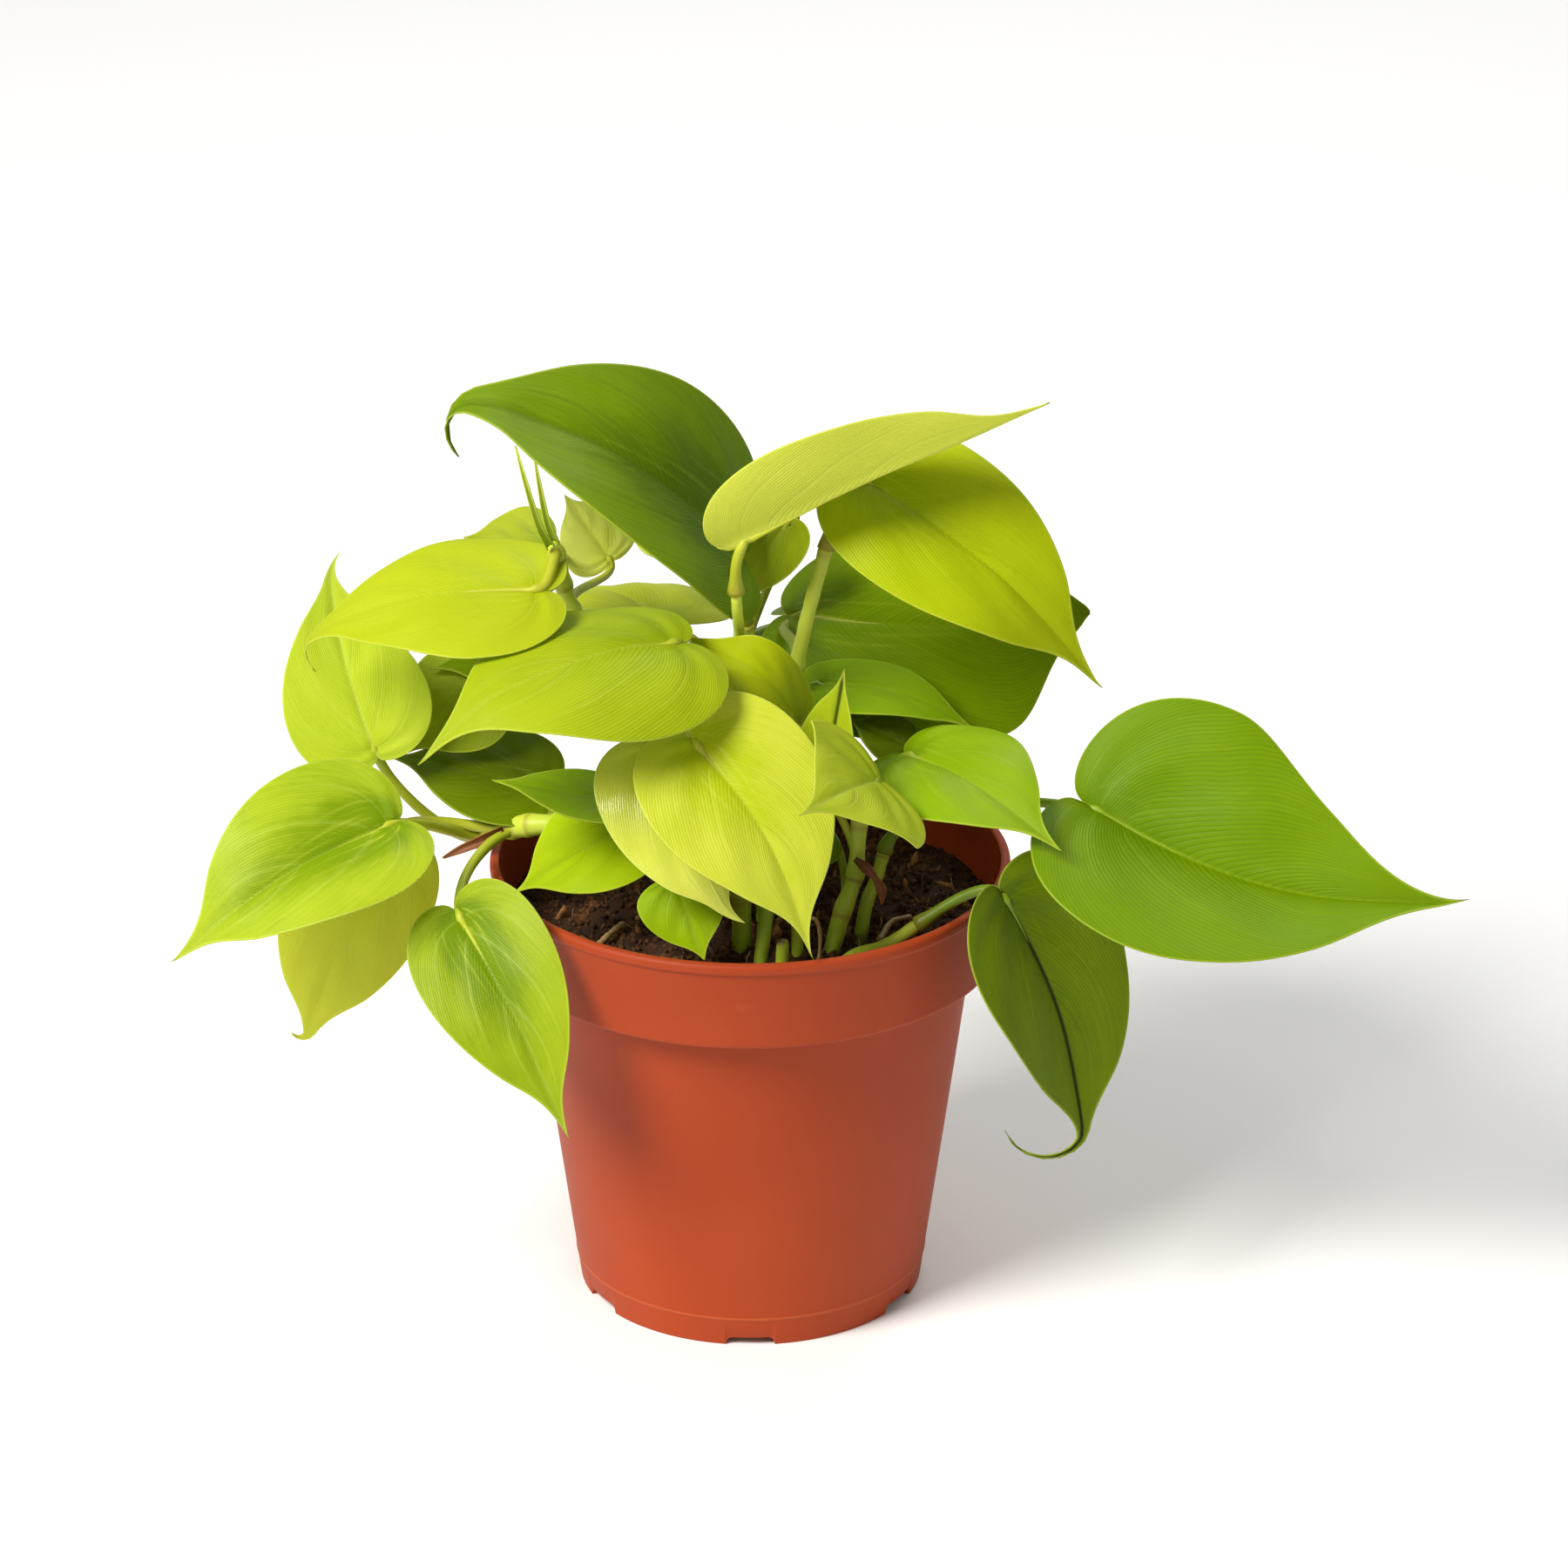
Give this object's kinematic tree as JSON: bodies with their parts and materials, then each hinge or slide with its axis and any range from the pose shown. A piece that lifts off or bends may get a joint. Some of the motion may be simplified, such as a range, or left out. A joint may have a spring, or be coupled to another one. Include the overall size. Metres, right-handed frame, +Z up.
{
  "type": "potted philodendron",
  "caption": "Heart-leaf philodendron with lime and dark green leaves on leaf stalks, growing in a tapered terracotta-coloured plastic nursery pot filled with potting mix.",
  "frame": {"origin": "centre of the pot's foot, on the surface it stands on", "axes": "+Z up along the pot's axis, -Y towards the side the leaves face, +X towards the largest leaf"},
  "size_m": [0.2535, 0.1368, 0.1938],
  "materials": {
    "pot_plastic": "satin",
    "potting_mix": "matte",
    "green_stem": "satin",
    "young_sheath": "satin",
    "dry_brown": "matte",
    "pale_root": "matte",
    "dark_leaf": "satin",
    "green_leaf": "satin",
    "lime_leaf": "satin"
  },
  "bodies": {
    "root": {"dried_sheath_left": "dry_brown", "dried_sheath_right": "dry_brown", "leaf_back_high": "dark_leaf", "leaf_back_left": "green_leaf", "leaf_back_low": "dark_leaf", "leaf_back_right": "dark_leaf", "leaf_centre_arched": "green_leaf", "leaf_far_left": "lime_leaf", "leaf_far_right": "green_leaf", "leaf_front_centre": "lime_leaf", "leaf_front_facing": "lime_leaf", "leaf_front_left_glossy": "lime_leaf", "leaf_hanging_front": "lime_leaf", "leaf_hanging_left": "lime_leaf", "leaf_hanging_right": "dark_leaf", "leaf_left_inner": "dark_leaf", "leaf_left_olive": "lime_leaf", "leaf_left_shaded": "dark_leaf", "leaf_left_upright": "lime_leaf", "leaf_low_front": "green_leaf", "leaf_low_left": "green_leaf", "leaf_low_left_rim": "green_leaf", "leaf_low_shaded": "dark_leaf", "leaf_mid_left": "lime_leaf", "leaf_right_edge_on": "green_leaf", "leaf_right_inner": "green_leaf", "leaf_small_pale": "lime_leaf", "leaf_small_right": "dark_leaf", "leaf_top_back": "dark_leaf", "leaf_top_folded": "lime_leaf", "leaf_top_left": "dark_leaf", "leaf_top_right": "green_leaf", "leaf_unrolling": "lime_leaf", "leaf_upper_left": "lime_leaf", "leaf_upper_left_back": "green_leaf", "leaf_upper_right_shaded": "dark_leaf", "pot": "pot_plastic", "potting_mix": "potting_mix", "root_aerial": "pale_root", "root_surface_left": "pale_root", "root_surface_right": "pale_root", "sheath_point_left": "young_sheath", "sheath_point_right": "young_sheath", "shoot_back": "green_stem", "shoot_front": "green_stem", "shoot_inner": "green_stem", "shoot_left": "green_stem", "shoot_low": "green_stem", "shoot_right": "green_stem", "shoot_slender": "green_stem", "shoot_tall": "green_stem", "shoot_top": "green_stem", "shoot_trailing": "green_stem", "shoot_upper_left": "green_stem", "stem_stub_front": "green_stem", "stem_stub_middle": "green_stem"}
  },
  "joints": []
}
